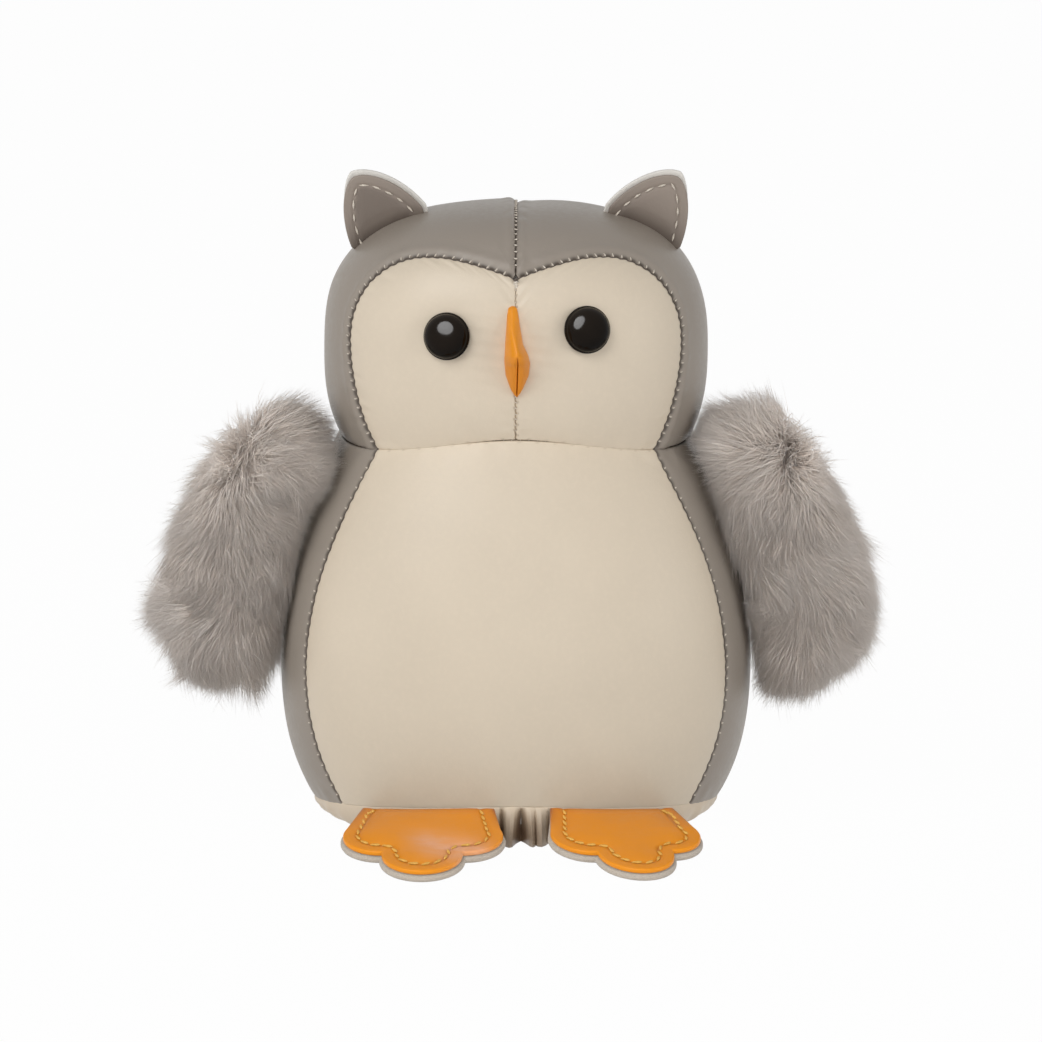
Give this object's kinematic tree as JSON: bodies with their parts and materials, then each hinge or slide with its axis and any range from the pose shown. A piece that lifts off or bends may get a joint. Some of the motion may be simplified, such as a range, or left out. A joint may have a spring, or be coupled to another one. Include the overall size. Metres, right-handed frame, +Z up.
{
  "type": "plush owl",
  "caption": "Standing plush owl of soft leatherette panels with a flat gathered base, liftable fur wings, folding lobed feet, bending ears, safety eyes and a folded beak.",
  "frame": {"origin": "centre of the flat base, on the surface that the owl stands on", "axes": "+Z up; the owl faces -Y; +X is the right-hand side seen from the front"},
  "size_m": [0.1536, 0.1124, 0.1399],
  "materials": {
    "cream_leatherette": "soft smooth leatherette, low sheen",
    "taupe_leatherette": "soft smooth leatherette, low sheen",
    "ear_leatherette": "soft smooth leatherette, low sheen",
    "orange_leatherette": "soft smooth leatherette, low sheen",
    "sole_felt": "matt, off-white",
    "fur_fabric": "fur fabric with a soft pile",
    "eye_black": "polished",
    "washer_plastic": "matt",
    "stiffener_board": "matt pressed board",
    "pellet_pouch_cloth": "plain cloth",
    "fibre_filling": "loose white fibre"
  },
  "bodies": {
    "torso": {"body_stuffing": "fibre_filling", "head_stuffing": "fibre_filling", "base_panel": "cream_leatherette", "beak": "orange_leatherette", "eye_left": "eye_black", "eye_right": "eye_black", "belly_panel": "cream_leatherette", "side_panel_left": "taupe_leatherette", "side_panel_right": "taupe_leatherette", "face_panel_left": "cream_leatherette", "face_panel_right": "cream_leatherette", "head_panel_left": "taupe_leatherette", "head_panel_right": "taupe_leatherette", "base_board": "stiffener_board", "pellet_pouch": "pellet_pouch_cloth", "eye_washer_left": "washer_plastic", "eye_washer_right": "washer_plastic"},
    "wing_left": {"wing_left_front": "fur_fabric", "wing_left_back": "fur_fabric", "wing_left_stuffing": "fibre_filling"},
    "foot_left": {"foot_left_top": "orange_leatherette", "foot_left_sole": "sole_felt"},
    "ear_left": {"ear_left_front": "ear_leatherette", "ear_left_lining": "cream_leatherette"},
    "wing_right": {"wing_right_front": "fur_fabric", "wing_right_back": "fur_fabric", "wing_right_stuffing": "fibre_filling"},
    "foot_right": {"foot_right_top": "orange_leatherette", "foot_right_sole": "sole_felt"},
    "ear_right": {"ear_right_front": "ear_leatherette", "ear_right_lining": "cream_leatherette"}
  },
  "joints": [
    {"name": "wing_left_lift", "type": "hinge", "parent": "torso", "child": "wing_left", "pos_m": [-0.0412, -0.013, 0.084], "axis": [0, 1, 0], "range_deg": [0, 60]},
    {"name": "foot_left_fold", "type": "hinge", "parent": "torso", "child": "foot_left", "pos_m": [-0.0193, -0.04045, 0.0088], "axis": [-0.9711, 0.2388, 0], "range_deg": [-12, 75]},
    {"name": "wing_right_lift", "type": "hinge", "parent": "torso", "child": "wing_right", "pos_m": [0.0412, -0.013, 0.084], "axis": [0, -1, 0], "range_deg": [0, 60]},
    {"name": "foot_right_fold", "type": "hinge", "parent": "torso", "child": "foot_right", "pos_m": [0.0222, -0.03964, 0.0088], "axis": [-0.9544, -0.2986, 0], "range_deg": [-12, 75]},
    {"name": "ear_left_bend", "type": "hinge", "parent": "torso", "child": "ear_left", "pos_m": [-0.0276, -0.006, 0.12609], "axis": [0.8707, 0, 0.4918], "range_deg": [-20, 20], "stiffness_Nm_per_rad": 0.01},
    {"name": "ear_right_bend", "type": "hinge", "parent": "torso", "child": "ear_right", "pos_m": [0.0276, -0.006, 0.12609], "axis": [0.8707, 0, -0.4918], "range_deg": [-20, 20], "stiffness_Nm_per_rad": 0.01}
  ]
}
